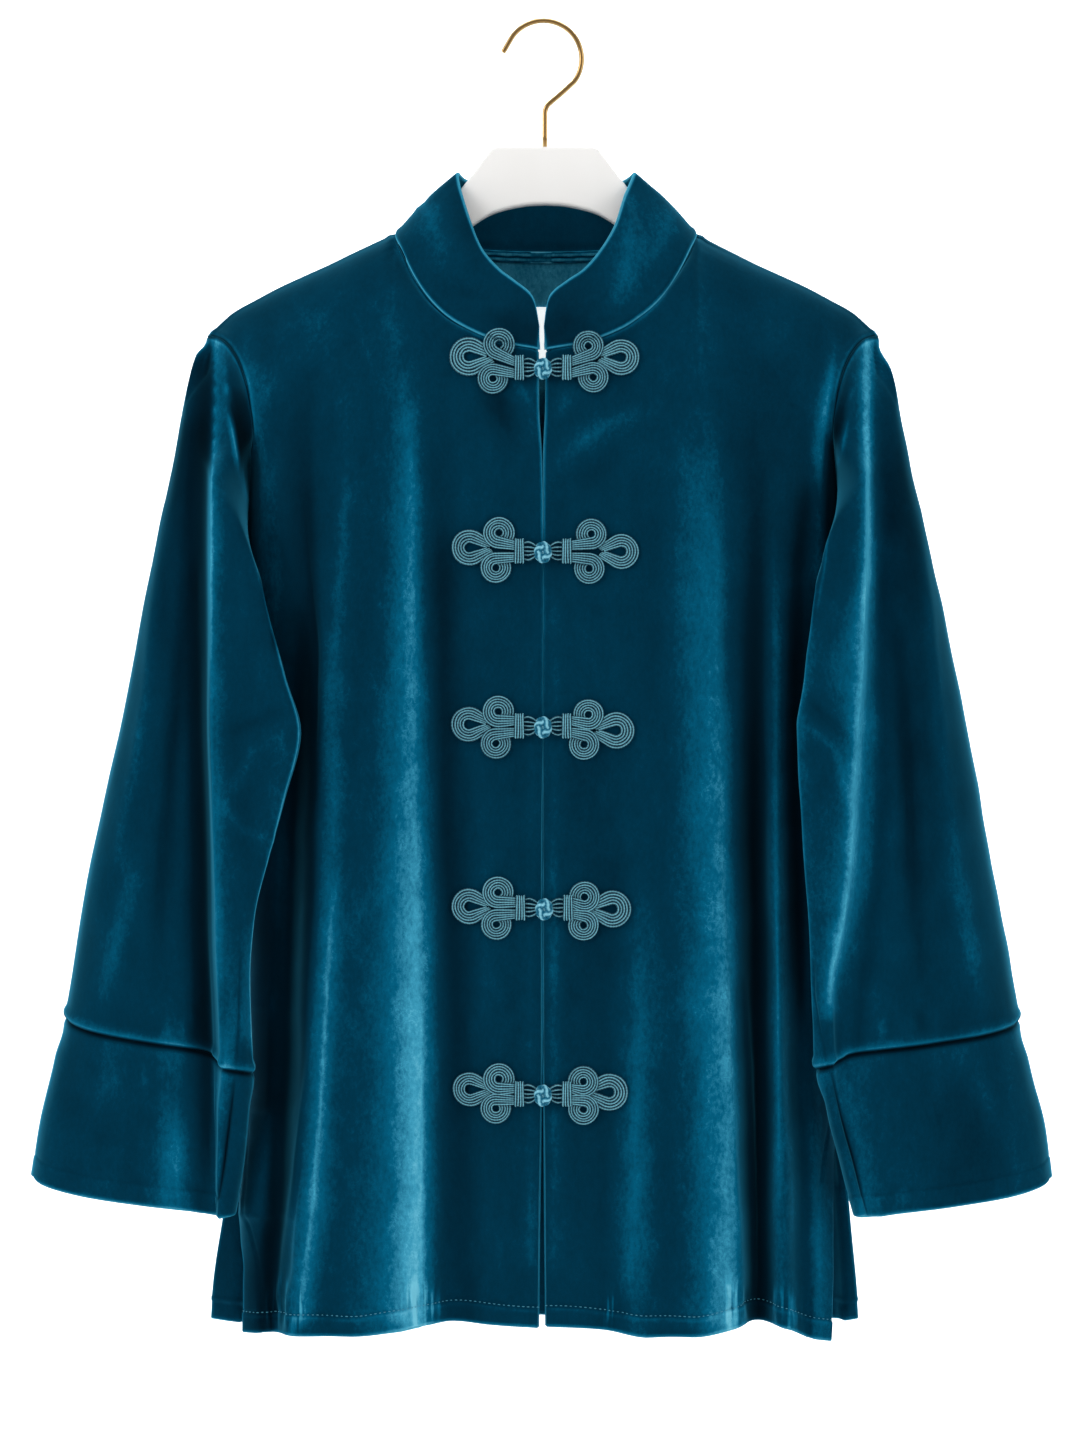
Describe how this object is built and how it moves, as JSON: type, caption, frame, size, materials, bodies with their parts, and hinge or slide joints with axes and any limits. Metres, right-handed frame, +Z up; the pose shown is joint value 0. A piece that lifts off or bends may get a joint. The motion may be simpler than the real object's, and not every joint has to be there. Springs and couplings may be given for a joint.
{
  "type": "velvet stand-collar jacket with frog closures on a hanger",
  "caption": "Long-sleeved velvet jacket with a stand collar, knotted cord frog closures down the front, deep cuffs and open side vents, hung on a shaped hanger with a wire hook.",
  "frame": {"origin": "the inner top of the hook, where a rail bears on it, in the hanger's middle plane", "axes": "+Z up, -Y toward the jacket's front, +X toward the wearer's left sleeve"},
  "size_m": [0.6778, 0.1364, 0.8817],
  "materials": {
    "velvet": "dark teal velvet with a short pile that brightens at grazing angles",
    "frog_cord": "satin-covered cord, light steel teal",
    "woven_label": "plain white woven tape",
    "hanger": "satin off-white",
    "hook": "polished gold-coloured wire"
  },
  "bodies": {
    "root": {"front_right": "velvet", "front_left": "velvet", "back": "velvet", "collar": "velvet", "neck_tape": "velvet", "sleeve_right": "velvet", "sleeve_left": "velvet", "cuff_right": "velvet", "cuff_left": "velvet", "label": "woven_label", "frog_1_right": "frog_cord", "frog_1_left": "frog_cord", "frog_1_knot": "frog_cord", "frog_2_right": "frog_cord", "frog_2_left": "frog_cord", "frog_2_knot": "frog_cord", "frog_3_right": "frog_cord", "frog_3_left": "frog_cord", "frog_3_knot": "frog_cord", "frog_4_right": "frog_cord", "frog_4_left": "frog_cord", "frog_4_knot": "frog_cord", "frog_5_right": "frog_cord", "frog_5_left": "frog_cord", "frog_5_knot": "frog_cord", "hanger_body": "hanger", "hanger_hook": "hook"}
  },
  "joints": []
}
